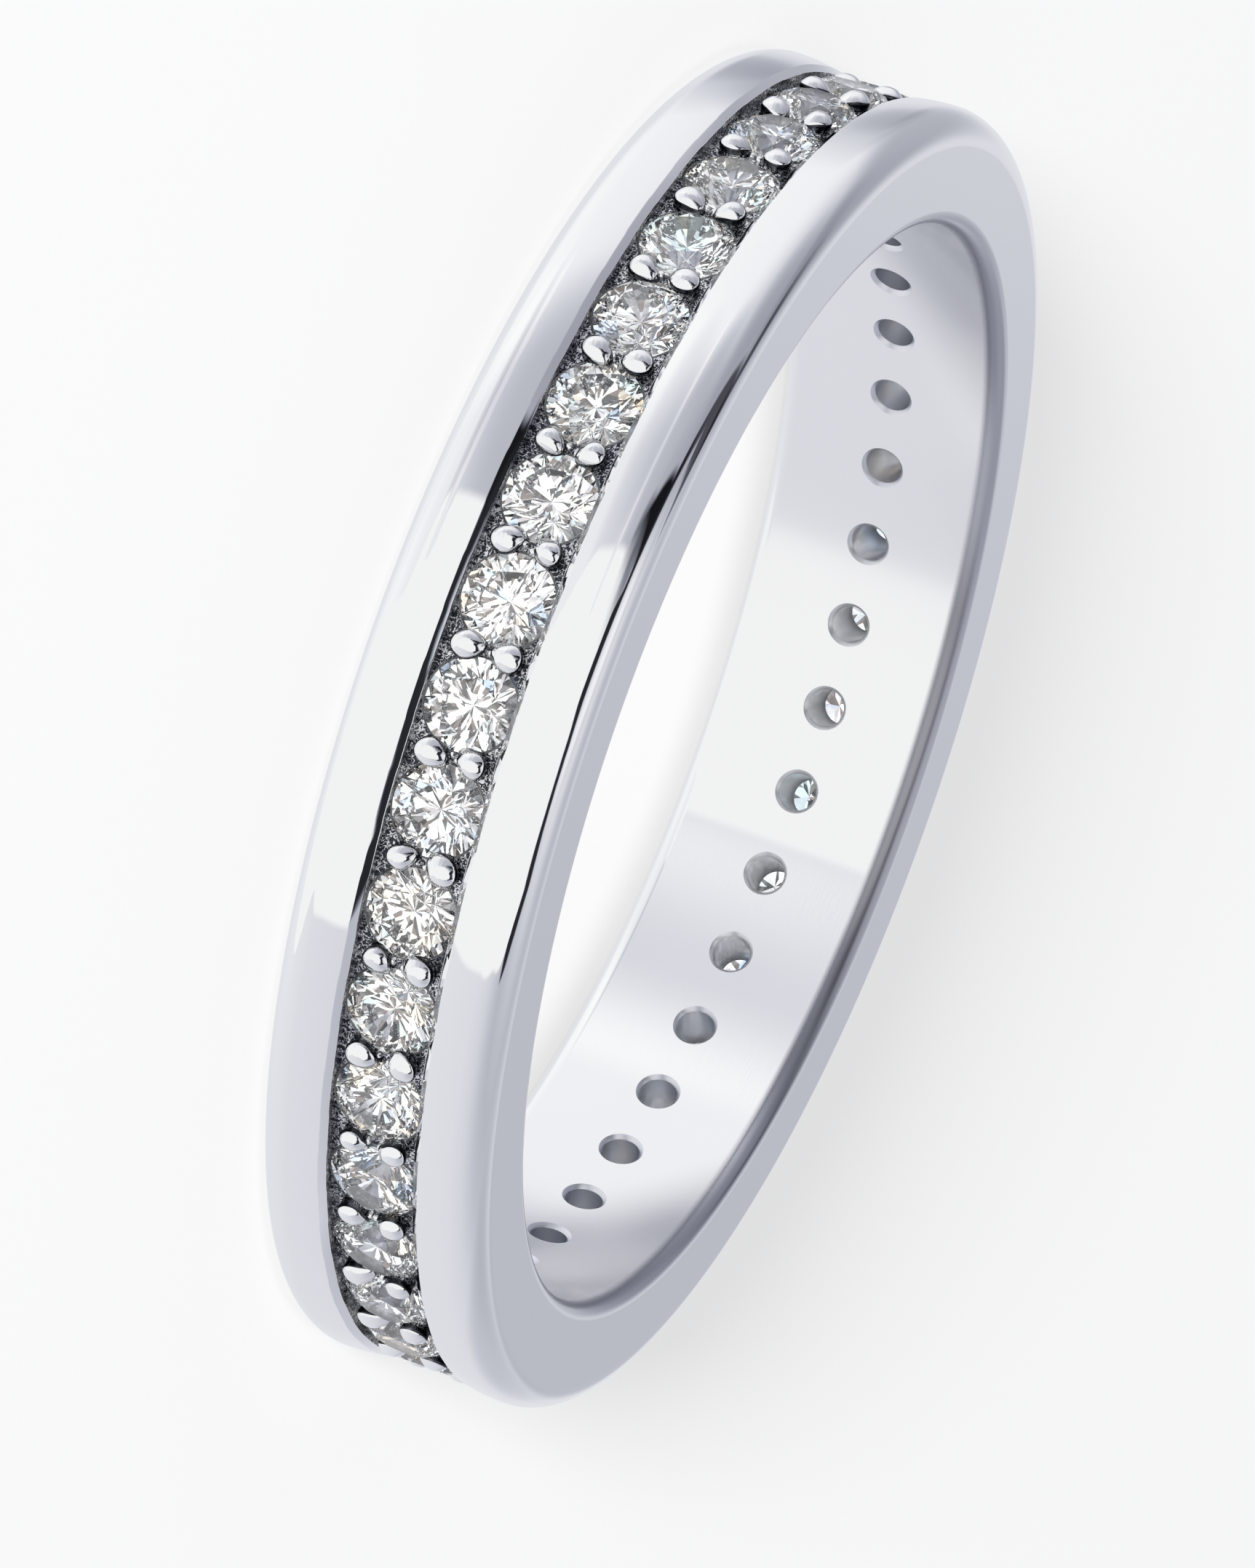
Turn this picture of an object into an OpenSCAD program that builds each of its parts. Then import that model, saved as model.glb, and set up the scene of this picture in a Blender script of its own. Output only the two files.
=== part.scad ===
// Eternity ring: one band with two domed rails and a channel of bead-set round brilliants all round.
// It lies on its side: the ring's axis is +Z, the lower side face is on Z = 0, stone 1 faces +X.

/* [Band] */
// Inside diameter, the finger's size
inner_d = 17.0; // [15:0.1:21]
// Width of the band along the finger
band_w = 3.6; // [3.2:0.05:4.4]
// Thickness from the inside to the crest of the rails
band_t = 1.75; // [1.6:0.05:2.2]
// Rounding of the two inside edges
inner_edge_r = 0.25; // [0.1:0.01:0.35]
// Rounding of the two outside edges, which is also how far in the rails' crests lie
outer_edge_r = 0.5; // [0.3:0.01:0.6]
// Radius of the shallow dome from each rail's crest to the channel
rail_dome_r = 2.5; // [2:0.1:5]
// Rounding where each rail turns down into the channel
wall_edge_r = 0.1; // [0.05:0.01:0.15]

/* [Channel] */
// Depth of the channel's floor below the rails' crests
channel_depth = 0.33; // [0.25:0.01:0.38]
// How deep each seat bites into the channel's walls
wall_scallop = 0.025; // [0.01:0.005:0.05]

/* [Stones] */
// Diameter of a stone at its girdle
stone_d = 1.4; // [1.3:0.01:1.45]
// Width of the table across opposite corners
table_d = 0.8; // [0.7:0.01:0.9]
// Height of the crown, from the girdle to the table
crown_h = 0.21; // [0.16:0.01:0.24]
// Thickness of the girdle
girdle_h = 0.04; // [0.02:0.005:0.06]
// Depth of the pavilion, from the girdle to the culet
pavilion_h = 0.6; // [0.54:0.01:0.64]
// How far the tables lie below the rails' crests
table_inset = 0.1; // [0.05:0.01:0.15]

/* [Seats] */
// Clearance between a stone and its seat
seat_gap = 0.02; // [0.01:0.005:0.03]
// Diameter of the azure hole that opens each seat to the finger side
azure_d = 0.56; // [0.4:0.01:0.7]

/* [Grains] */
// Diameter of a grain's round head
grain_d = 0.37; // [0.3:0.01:0.4]
// Diameter of the stem that raises a grain from the floor
grain_stem_d = 0.28; // [0.2:0.01:0.3]
// Distance from a stone's girdle to the centre of each grain beside it
grain_reach = 0.18; // [0.17:0.005:0.22]

/* [Hidden] */
stone_count = 39;
pitch = 360 / stone_count;
ring_fn = 180;
arc_fn = 48;

inner_r = inner_d / 2;
crest_r = inner_r + band_t;
floor_r = crest_r - channel_depth;
half_w = band_w / 2;
crest_z = half_w - outer_edge_r;

// Stone levels, measured out from the ring's axis
table_r = crest_r - table_inset;
girdle_top_r = table_r - crown_h;
girdle_low_r = girdle_top_r - girdle_h;
culet_r = girdle_low_r - pavilion_h;

// Seat: a bored shoulder under the girdle, then a cone parallel to the pavilion
seat_d = stone_d + 2 * seat_gap;
seat_shoulder_r = girdle_low_r - seat_gap;
seat_slope = 2 * pavilion_h / stone_d;
seat_cone_h = seat_slope * (seat_d - azure_d) / 2;
wall_z = seat_d / 2 - wall_scallop;

// The wall's edge rounds off into the dome, tangent to both
wall_edge_z = wall_z + wall_edge_r;
dome_c = crest_r - rail_dome_r;
dome_run = crest_z - wall_edge_z;
edge_c = dome_c + sqrt(pow(rail_dome_r - wall_edge_r, 2) - pow(dome_run, 2));
tangent_z = crest_z - rail_dome_r * dome_run / (rail_dome_r - wall_edge_r);

// Grains stand halfway between stones, the same reach from both girdles. Their tops are level with the crests.
grain_r = crest_r - grain_d / 2;
grain_mid = grain_r * sin(pitch / 2);
grain_z = sqrt(max(0, pow(stone_d / 2 + grain_reach, 2) - pow(grain_mid, 2)));

// Brilliant cut: star and lower-half lengths as shares of the crown's slope and of the radius
star_share = 0.5;
lower_share = 0.77;

// Half of the band's section above the middle plane: X is the distance from the axis, Y is along it
module half_section() {
    inner_fillet_c = [inner_r + inner_edge_r, half_w - inner_edge_r];
    // Body of the section, up to the channel's floor
    difference() {
        translate([inner_r, 0])
            square([floor_r - inner_r, half_w]);
        translate([inner_r - 1, half_w - inner_edge_r])
            square([1 + inner_edge_r, 1 + inner_edge_r]);
        translate([crest_r - outer_edge_r, crest_z])
            square([2, 2]);
    }
    translate(inner_fillet_c)
        circle(r = inner_edge_r, $fn = arc_fn);
    // Outside edge
    translate([crest_r - outer_edge_r, crest_z])
        intersection() {
            circle(r = outer_edge_r, $fn = arc_fn);
            translate([-outer_edge_r, -0.01])
                square([2 * outer_edge_r, outer_edge_r + 0.02]);
        }
    translate([inner_r + inner_edge_r, crest_z - 0.01])
        square([band_t - inner_edge_r - outer_edge_r, outer_edge_r + 0.01]);
    // Dome from the crest to the channel
    intersection() {
        translate([dome_c, crest_z])
            circle(r = rail_dome_r, $fn = 8 * arc_fn);
        translate([inner_r + inner_edge_r, tangent_z])
            square([band_t, crest_z - tangent_z]);
    }
    // Edge of the channel's wall
    translate([edge_c, wall_edge_z])
        circle(r = wall_edge_r, $fn = arc_fn);
    translate([inner_r + inner_edge_r, wall_z])
        square([edge_c - inner_r - inner_edge_r, wall_edge_r]);
}

module blank() {
    translate([0, 0, half_w])
        rotate_extrude($fn = ring_fn)
            union() {
                half_section();
                mirror([0, 1])
                    half_section();
            }
}

// Turns a piece drawn along +Z from the ring's axis out to its place in the row
module place(turn) {
    translate([0, 0, half_w])
        rotate([0, 90, turn * pitch])
            children();
}

module seat_cut() {
    translate([0, 0, seat_shoulder_r])
        cylinder(h = crest_r - seat_shoulder_r + 1, d = seat_d, $fn = arc_fn);
    translate([0, 0, seat_shoulder_r - seat_cone_h])
        cylinder(h = seat_cone_h, d1 = azure_d, d2 = seat_d, $fn = arc_fn);
    translate([0, 0, inner_r - 1])
        cylinder(h = seat_shoulder_r - seat_cone_h - inner_r + 1.01, d = azure_d, $fn = arc_fn);
}

module grain() {
    translate([0, 0, floor_r - 0.1])
        cylinder(h = grain_r - floor_r + 0.1, d = grain_stem_d, $fn = arc_fn);
    translate([0, 0, grain_r])
        sphere(d = grain_d, $fn = arc_fn);
}

module band() {
    color([0.86, 0.87, 0.9]) {
        difference() {
            blank();
            for (i = [0 : stone_count - 1])
                place(i)
                    seat_cut();
        }
        for (i = [0 : stone_count - 1], side = [-1, 1])
            place(i + 0.5)
                translate([side * grain_z, 0, 0])
                    grain();
    }
}

// A point on a ring of eight, at a height and a radius
function corner(k, r, h) = [r * cos(45 * k), r * sin(45 * k), h];

// Round brilliant: eight-sided table, stars, kites and halves over sixteen girdle corners
module brilliant() {
    stone_r = stone_d / 2;
    table_corner = table_d / 2;
    table_flat = table_corner * cos(22.5);
    crown_mid = table_flat + star_share * (stone_r - table_flat);
    crown_slope = crown_h / (stone_r - table_corner);
    crown_mid_h = table_r - (crown_mid * cos(22.5) - table_corner) * crown_slope;
    pavilion_mid = (1 - lower_share) * stone_r;
    pavilion_mid_h = culet_r + pavilion_mid * cos(22.5) * pavilion_h / stone_r;
    points = concat(
        [for (k = [0 : 7]) corner(k, table_corner, table_r)],
        [for (k = [0 : 7]) corner(k + 0.5, crown_mid, crown_mid_h)],
        [for (k = [0 : 15]) corner(k / 2, stone_r, girdle_top_r)],
        [for (k = [0 : 15]) corner(k / 2, stone_r, girdle_low_r)],
        [for (k = [0 : 7]) corner(k + 0.5, pavilion_mid, pavilion_mid_h)],
        [[0, 0, culet_r]]);
    // Rows of points: table 0, crown middle 8, girdle top 16, girdle low 32, pavilion middle 48, culet 56
    faces = concat(
        [[for (k = [7 : -1 : 0]) k]],
        [for (k = [0 : 7]) [k, (k + 1) % 8, 8 + k]],
        [for (k = [0 : 7]) [k, 8 + k, 16 + 2 * k]],
        [for (k = [0 : 7]) [k, 16 + 2 * k, 8 + (k + 7) % 8]],
        [for (k = [0 : 7]) [8 + k, 16 + 2 * k + 1, 16 + 2 * k]],
        [for (k = [0 : 7]) [8 + k, 16 + (2 * k + 2) % 16, 16 + 2 * k + 1]],
        [for (k = [0 : 15]) [16 + k, 16 + (k + 1) % 16, 32 + (k + 1) % 16, 32 + k]],
        [for (k = [0 : 7]) [48 + k, 32 + 2 * k, 32 + 2 * k + 1]],
        [for (k = [0 : 7]) [48 + k, 32 + 2 * k + 1, 32 + (2 * k + 2) % 16]],
        [for (k = [0 : 7]) [56, 32 + 2 * k, 48 + k]],
        [for (k = [0 : 7]) [56, 48 + (k + 7) % 8, 32 + 2 * k]]);
    polyhedron(points = points, faces = faces, convexity = 2);
}

module stone(number) {
    color([0.9, 0.93, 0.97, 0.8])
        place(number - 1)
            brilliant();
}

band();
stone(1);  // stone_01
stone(2);  // stone_02
stone(3);  // stone_03
stone(4);  // stone_04
stone(5);  // stone_05
stone(6);  // stone_06
stone(7);  // stone_07
stone(8);  // stone_08
stone(9);  // stone_09
stone(10);  // stone_10
stone(11);  // stone_11
stone(12);  // stone_12
stone(13);  // stone_13
stone(14);  // stone_14
stone(15);  // stone_15
stone(16);  // stone_16
stone(17);  // stone_17
stone(18);  // stone_18
stone(19);  // stone_19
stone(20);  // stone_20
stone(21);  // stone_21
stone(22);  // stone_22
stone(23);  // stone_23
stone(24);  // stone_24
stone(25);  // stone_25
stone(26);  // stone_26
stone(27);  // stone_27
stone(28);  // stone_28
stone(29);  // stone_29
stone(30);  // stone_30
stone(31);  // stone_31
stone(32);  // stone_32
stone(33);  // stone_33
stone(34);  // stone_34
stone(35);  // stone_35
stone(36);  // stone_36
stone(37);  // stone_37
stone(38);  // stone_38
stone(39);  // stone_39
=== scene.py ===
import bpy
import numpy as np
from math import radians, pi
from mathutils import Matrix, Vector


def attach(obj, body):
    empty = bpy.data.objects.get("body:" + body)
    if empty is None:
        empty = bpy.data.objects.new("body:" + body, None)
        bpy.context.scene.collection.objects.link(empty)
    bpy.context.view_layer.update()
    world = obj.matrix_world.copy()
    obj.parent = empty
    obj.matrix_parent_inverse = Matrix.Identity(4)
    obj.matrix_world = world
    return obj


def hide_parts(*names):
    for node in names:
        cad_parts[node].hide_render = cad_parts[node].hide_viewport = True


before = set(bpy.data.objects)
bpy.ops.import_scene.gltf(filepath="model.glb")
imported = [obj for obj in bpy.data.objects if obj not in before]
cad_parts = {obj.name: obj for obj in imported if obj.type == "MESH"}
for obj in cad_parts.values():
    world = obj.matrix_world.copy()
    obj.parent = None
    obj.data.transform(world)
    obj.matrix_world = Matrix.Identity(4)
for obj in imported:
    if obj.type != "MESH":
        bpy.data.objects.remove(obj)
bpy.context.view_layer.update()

random = np.random.default_rng(39)  # the same small unevenness in every run

# camera
camera = {
    "stand": (13.43, -210.70, 61.27),  # mm
    "aim": (0.928, 0.0, 1.605),        # mm, a little beside the ring's middle
    "roll": -109.47,                   # degrees
    "lens": 336.6,
    "sensor": 36,
    "clip": (0.01, 20),                # m
}


def makeCamera():
    stand, aim = Vector(camera["stand"]), Vector(camera["aim"])
    forward = (aim - stand).normalized()
    level = forward.cross(Vector((0, 0, 1))).normalized()
    upright = level.cross(forward)
    turn = radians(camera["roll"])
    up = upright * np.cos(turn) + level * np.sin(turn)
    side = forward.cross(up)
    data = bpy.data.cameras.new("ringCamera")
    data.lens, data.sensor_width = camera["lens"], camera["sensor"]
    data.clip_start, data.clip_end = camera["clip"]
    held = bpy.data.objects.new("ringCamera", data)
    held.matrix_world = Matrix.Translation(stand / 1000) @ Matrix((side, up, -forward)).transposed().to_4x4()
    bpy.context.scene.collection.objects.link(held)
    bpy.context.scene.camera = held


makeCamera()
print("camera set")


# shader helpers
class Wire:
    # one socket of a shader, so that its maths reads as plain Python
    def __init__(self, graph, socket):
        self.graph, self.socket = graph, socket

    def worked(self, operation, *values):
        return self.graph.node("ShaderNodeMath", {"operation": operation}, dict(enumerate(values)))

    def __add__(self, other): return self.worked("ADD", self, other)
    def __radd__(self, other): return self.worked("ADD", other, self)
    def __sub__(self, other): return self.worked("SUBTRACT", self, other)
    def __rsub__(self, other): return self.worked("SUBTRACT", other, self)
    def __mul__(self, other): return self.worked("MULTIPLY", self, other)
    def __rmul__(self, other): return self.worked("MULTIPLY", other, self)
    def __pow__(self, other): return self.worked("POWER", self, other)
    def __abs__(self): return self.worked("ABSOLUTE", self)


def opaque(colour):
    # a colour with its fourth number; a wire stays as it is
    return colour if isinstance(colour, Wire) else tuple(colour) + (1,)


def dimmed(colour, share):
    return tuple(part * share for part in colour)


class Graph:
    # the nodes of one material or of the world
    def __init__(self, tree):
        self.tree = tree
        tree.nodes.clear()

    def node(self, kind, settings=None, inputs=None, out=0):
        # settings first, a ramp's stops among them, then the values or links of the sockets
        made = self.tree.nodes.new(kind)
        for key, value in (settings or {}).items():
            if key == "stops":
                ramp = made.color_ramp
                while len(ramp.elements) < len(value):
                    ramp.elements.new(0.5)
                for element, (place, colour) in zip(ramp.elements, value):
                    element.position, element.color = place, opaque(colour)
            else:
                setattr(made, key, value)
        for key, value in (inputs or {}).items():
            if isinstance(value, Wire):
                self.tree.links.new(value.socket, made.inputs[key])
            else:
                made.inputs[key].default_value = value
        return Wire(self, made.outputs[out]) if made.outputs else None

    def split(self, vector):
        # the three parts of a vector
        parts = self.node("ShaderNodeSeparateXYZ", inputs={0: vector})
        return [Wire(self, socket) for socket in parts.socket.node.outputs]

    def rise(self, value, low, high):
        # 0 below low, 1 above high, smooth between
        return self.node("ShaderNodeMapRange", {"interpolation_type": "SMOOTHSTEP"},
                         {"Value": value, "From Min": low, "From Max": high}, "Result")

    def fall(self, value, low, high):
        return 1 - self.rise(value, low, high)

    def between(self, value, rising, falling):
        # 1 between two soft edges
        return self.rise(value, *rising) * self.fall(value, *falling)

    def near(self, value, place, inner, outer):
        # 1 within inner of the place, 0 beyond outer
        return self.fall(abs(value - place), inner, outer)

    def line(self, along, start, *changes):
        # the start and what is added: (size, low, high) is a soft step, (size, place, inner, outer) a soft bump
        for size, *where in changes:
            shape = self.near if len(where) == 3 else self.rise
            start = start + size * shape(along, *where)
        return start

    def blend(self, share, first, second):
        return self.node("ShaderNodeMix", {"data_type": "RGBA"}, {0: share, 6: opaque(first), 7: opaque(second)}, 2)

    def scaled(self, colour, factor):
        # a colour times a number
        return self.node("ShaderNodeVectorMath", {"operation": "SCALE"}, {0: colour, "Scale": factor})

    def tinted(self, colour, tint):
        # a colour times a colour
        return self.node("ShaderNodeVectorMath", {"operation": "MULTIPLY"}, {0: colour, 1: tint})

    def noise(self, place, scale, detail, distortion=0.0):
        return self.node("ShaderNodeTexNoise", inputs={
            "Vector": place, "Scale": scale, "Detail": detail, "Distortion": distortion}, out="Fac")

    def bump(self, strength, distance, height):
        return self.node("ShaderNodeBump", inputs={"Strength": strength, "Distance": distance, "Height": height})


# sizes that several pieces share, mm
ring = {
    "cells": 39,
    "halfWidth": 1.8,
    "boreRadius": 8.5,
    "floorRadius": 9.92,
    "wallHalf": 0.695,
    "seatTurns": (0.0, 0.13, 0.26, 0.34, 0.39, 0.44, 0.58, 0.72, 0.86, 1.0),  # shares of half a cell
    "outlineRows": 16,        # along a cell's straight ends
}

# studio
# azimuths and heights are degrees, from the camera's side and above the horizon
# an edge is its start and its changes, as Graph.line takes them
studio = {
    "cameraSide": 273.65,     # where the camera stands, and where azimuth 0 of the lights lies
    # height, level
    "levels": [(-90, 0.93), (-78, 0.90), (-66, 0.83), (-50, 0.785), (-30, 0.76), (-12, 0.73), (8, 0.695), (19, 0.665),
               (31, 0.60), (43, 0.52), (52, 0.48), (61, 0.52), (68, 0.585), (79, 0.72), (90, 0.66)],
    # soft round patches: azimuth, height, half width, half height, share of the light taken, or added where below 0
    "patches": [(-94, -28, 50, 54, -0.24), (-98, 54, 60, 36, 0.28), (-44, 12, 36, 44, 0.30), (-44, -24, 36, 10, 0.17),
                (-44, -15.4, 34, 2, -0.22), (-31.5, 30, 9.5, 17, 0.62), (-27, 47, 12, 12, 0.55),
                (-134, -14, 20, 16, 0.16), (-142, 22, 30, 52, 0.36), (146, 20, 28, 30, 0.20),
                (-30, -45, 60, 45, -0.12), (178, 10, 30, 50, -0.06), (-25, 78, 95, 15, -0.28),
                (-143, -15, 13, 10, 0.15), (174, 14, 11, 18, 0.30)],
    "patchFade": (0.0, 0.9),
    # a long black band high up
    "bandUnder": (57.5, (-12, 57, 3, 10), (1.5, 24, 4, 14), (-7, -10, 8, 20)),
    "bandOver": (64.5, (4.5, -4, 16), (4, -130, 20, 28)),
    "bandUnderFade": (-1.5, 1.5),
    "bandOverFade": (-1.5, 2.0),
    "bandEnds": ((-156, -146), (61, 67)),
    "bandDepth": (0.84, (0.14, -95, -70)),
    # a hook at its far end
    "hookHeights": ((38, 52), (60, 66)),
    "hookPlace": (-145, 5, 10),
    "hookDepth": 0.8,
    # a wedge that hangs from it beside the box
    "wedgeCorner": (-58, 55),
    "wedgeSlope": 1.15,
    "wedgeFade": (-4, 3),
    "wedgeEnds": ((-72, -60), (-38, -29)),
    "wedgeTop": (58, 61),
    "blackDepth": 0.98,
    # the white box: a rounded lower left, a soft upper left, and a straight right edge that opens out below
    "boxLevel": 0.935,
    "boxLeft": (-8, (-18, -42, -26), (12, -15.4, 0.8, 1.8), (2, 10, 30), (6, 30, 42)),
    "boxRight": (130.5, (-80, -78, -38), (-2, -30, -10), (5, 18, 42)),
    "boxLeftFade": (1.2, (9, 12, 30)),
    "boxRightFade": (-0.8, 0.8),
    "boxTopFade": (-1.5, 0.5),
    "lavender": (0.0, 0.05, 0.28),    # how far the dark greys' red, green and blue are raised
    # what the stones gather: the same studio broken into small bright, dark, taupe and pale blue cards
    "cardScale": 20.0,
    "cardColours": [(0.0, (0.01, 0.008, 0.006)), (0.16, (0.17, 0.13, 0.105)), (0.28, (1.0, 0.97, 0.92)),
                    (0.46, (0.84, 0.91, 0.96)), (0.55, (1.0, 0.995, 0.975)), (0.83, (0.58, 0.54, 0.56)),
                    (0.88, (0.20, 0.16, 0.14)), (0.94, (0.90, 0.97, 0.94))],
    "cardShare": 0.92,
    "cardShade": 0.22,        # how much darker the cards are on the side towards the picture's foot
    "cardShadeAt": (86, 15, 65),
    "stoneLight": 1.54,
    "stoneSides": 0.4,        # how much more the stones gather from the sides than from the front
    "stoneSidesAt": (50, 110),
    "stoneEven": 0.3,         # how evenly the stones gather it from all sides
    "stoneGrey": (0.82, 0.82, 0.82),
    # floor
    "floorSize": 2.4,         # m
    "floorColour": (0.35, 0.35, 0.35),
    "floorShade": 0.99,
    "floorNoise": (60.0, 3.0),
    "floorGlow": (0.515, 0.513, 0.507),    # light of its own, so the shadows stay faint
    "paintedPool": 0.46,         # painted light: the floor glows brighter inside the ring, a painted pool standing in for what the polished bore throws down and lifting the low lamp's shadow there
    "paintedPoolAt": (0.0066, 0.0092),    # m from the axis
    # lamps: place in m, size in m, watts
    "overheadLamp": ((0.12, -0.70, 1.25), 0.5, 3.5),
    "lowLamp": ((0.05, -1.481, 0.23), 0.25, 82.0),    # from beside the camera, for the soft shadow behind the ring
}


def makeWorld():
    world = bpy.data.worlds.new("studioWorld")
    world.use_nodes = True
    g = Graph(world.node_tree)
    way = g.node("ShaderNodeTexCoord", out="Generated")
    x, y, z = g.split(way)
    turn = y.worked("ARCTAN2", y, x) * (180 / pi) - studio["cameraSide"]
    around = turn.worked("WRAP", turn, 180.0, -180.0)
    height = z.worked("ARCSINE", z) * (180 / pi)

    def spot(azimuth, elevation, wide, tall, depth):
        # what a soft round patch leaves of the light
        apart = around - azimuth
        off = apart.worked("WRAP", apart, 180.0, -180.0) * (1 / wide)
        up = (height - elevation) * (1 / tall)
        return 1 - depth * g.rise(1 - (off * off + up * up), *studio["patchFade"])

    stops = [((elevation + 90) / 180, (level,) * 3) for elevation, level in studio["levels"]]
    ramp = g.node("ShaderNodeValToRGB", {"stops": stops}, {0: (height + 90) * (1 / 180)})
    level = g.node("ShaderNodeSeparateColor", inputs={0: ramp})
    for patch in studio["patches"]:
        level = level * spot(*patch)

    under, over = g.line(around, *studio["bandUnder"]), g.line(around, *studio["bandOver"])
    band = g.rise(height - under, *studio["bandUnderFade"]) * g.fall(height - over, *studio["bandOverFade"])
    band = band * g.between(around, *studio["bandEnds"]) * g.line(around, *studio["bandDepth"])
    hook = g.between(height, *studio["hookHeights"]) * g.near(around, *studio["hookPlace"])
    azimuth, elevation = studio["wedgeCorner"]
    slope = height - elevation + (around - azimuth) * studio["wedgeSlope"]
    wedge = g.rise(slope, *studio["wedgeFade"]) * g.between(around, *studio["wedgeEnds"])
    wedge = wedge * g.fall(height, *studio["wedgeTop"])
    dark = 1 - (1 - band) * (1 - wedge) * (1 - studio["hookDepth"] * hook)
    level = level * (1 - studio["blackDepth"] * dark)

    left, right = g.line(height, *studio["boxLeft"]), g.line(height, *studio["boxRight"])
    fade = g.line(height, *studio["boxLeftFade"])
    box = g.rise(around - left, 0 - fade, fade) * g.fall(around - right, *studio["boxRightFade"])
    box = box * g.fall(height - under, *studio["boxTopFade"])

    grey = g.node("ShaderNodeCombineXYZ", inputs={
        channel: level * (1 + lean - lean * level) for channel, lean in enumerate(studio["lavender"])})
    colour = g.blend(box, grey, (studio["boxLevel"],) * 3)

    cards = g.node("ShaderNodeTexVoronoi", {"feature": "F1"}, {
        "Vector": way, "Scale": studio["cardScale"], "Randomness": 1.0}, "Color")
    pick = g.node("ShaderNodeSeparateColor", inputs={0: cards})
    pick = pick - studio["cardShade"] * g.near(around, *studio["cardShadeAt"])
    small = g.node("ShaderNodeValToRGB", {"stops": studio["cardColours"]}, {0: pick})
    small.socket.node.color_ramp.interpolation = "CONSTANT"
    gain = studio["stoneLight"] * (1 + studio["stoneSides"] * g.rise(abs(around), *studio["stoneSidesAt"]))
    gathered = g.scaled(g.blend(studio["stoneEven"], colour, studio["stoneGrey"]), gain)
    sparkle = g.node("ShaderNodeMix", {"data_type": "RGBA", "blend_type": "MULTIPLY"}, {
        0: studio["cardShare"], 6: gathered, 7: small}, 2)
    throughStone = g.node("ShaderNodeLightPath", out="Is Transmission Ray")
    colour = g.blend(throughStone, colour, sparkle)
    light = g.node("ShaderNodeBackground", inputs={"Color": colour, "Strength": 1.0})
    g.node("ShaderNodeOutputWorld", inputs={"Surface": light})
    bpy.context.scene.world = world


# materials, the floor's and the ring's
def newMaterial(name):
    material = bpy.data.materials.new(name)
    material.use_nodes = True
    return material, Graph(material.node_tree)


def finished(material, g, inputs):
    # the material, with a shader that has these inputs
    shader = g.node("ShaderNodeBsdfPrincipled", inputs=inputs)
    g.node("ShaderNodeOutputMaterial", inputs={"Surface": shader})
    return material


def paleFloor():
    material, g = newMaterial("paleFloor")
    place = g.node("ShaderNodeTexCoord", out="Object")
    grain = g.noise(place, *studio["floorNoise"])
    colour = g.blend(grain, studio["floorColour"], dimmed(studio["floorColour"], studio["floorShade"]))
    away = g.node("ShaderNodeVectorMath", {"operation": "LENGTH"}, {0: place}, "Value")
    # painted light: a brighter pool painted into the floor's glow inside the ring
    glow = g.scaled(studio["floorGlow"], 1 + studio["paintedPool"] * g.fall(away, *studio["paintedPoolAt"]))
    return finished(material, g, {
        "Base Color": colour, "Roughness": 0.9, "Specular IOR Level": 0.0, "Emission Color": glow,
        "Emission Strength": 1.0})


def makeFloor():
    half = studio["floorSize"] / 2
    mesh = bpy.data.meshes.new("paleFloor")
    mesh.from_pydata([(-half, -half, 0), (half, -half, 0), (half, half, 0), (-half, half, 0)], [], [(0, 1, 2, 3)])
    floor = bpy.data.objects.new("paleFloor", mesh)
    bpy.context.scene.collection.objects.link(floor)
    mesh.materials.append(paleFloor())
    # the ring mirrors the studio, as if it were held up in it
    floor.visible_glossy = floor.visible_transmission = False


def makeLamp(name, place, size, watts):
    data = bpy.data.lights.new(name, "AREA")
    data.shape, data.size, data.energy = "DISK", size, watts
    lamp = bpy.data.objects.new(name, data)
    place = Vector(place)
    lamp.matrix_world = Matrix.Translation(place) @ (-place).to_track_quat("-Z", "Y").to_matrix().to_4x4()
    lamp.visible_glossy = lamp.visible_transmission = False
    bpy.context.scene.collection.objects.link(lamp)


makeWorld()
makeFloor()
makeLamp("overheadLamp", *studio["overheadLamp"])
makeLamp("lowLamp", *studio["lowLamp"])
bpy.context.scene.view_settings.view_transform = "Standard"
bpy.context.scene.cycles.max_bounces = 24
bpy.context.scene.cycles.transmission_bounces = 20
bpy.context.scene.cycles.glossy_bounces = 20
print("studio set")

polish = {
    "colour": (0.955, 0.957, 0.965),
    "roughness": 0.025,
    "hazeNoise": (500.0, 3.0),
    "hazeShade": 0.985,
    "wear": 0.03,             # how much rougher the haziest patches are
    "wearFrom": (0.5, 0.8),
    "hairlines": 0.02,        # strength of the buffing marks
    "hairlineNoise": (2600.0, 4.0),
    "hairlineStretch": (1.0, 1.0, 14.0),
    "hairlineDepth": 0.00001,
    # the rounded inner edge on the upper side: rougher, dulled by the finger, and painted shade in its colour, a dark
    # line next to the bore that grows paler towards the side face and the ends
    "rimRoughness": 0.30,
    "rimPaintedDark": (0.36, 0.365, 0.40),
    "rimPaintedPale": (0.62, 0.63, 0.68),
    "rimHeights": (0.00327, 0.00339),    # m, as all places below
    "rimRadii": (0.00862, 0.00876),
    "rimPaintedPaleRadii": (0.00854, 0.00866),
    "rimEnds": (0.0035, 0.0055),
    "rimEndsPaintedPale": 0.75,
    "rimEndsSmoother": 0.4,
    # the bore where it is seen at a glancing angle: rougher towards its ends, and painted shade, lavender grey, towards
    # both ends and the upper side
    "boreRadii": (0.00852, 0.00860),
    "endRoughness": 0.17,
    "endMiddle": 0.0014,
    "endFrom": (0.0028, 0.0062),
    "endShade": (0.62, 0.625, 0.665),
    "endShadeMiddle": -0.0004,
    "endShadeSlope": 0.9,
    "endShadeFrom": (0.0070, 0.0086),
}


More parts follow.
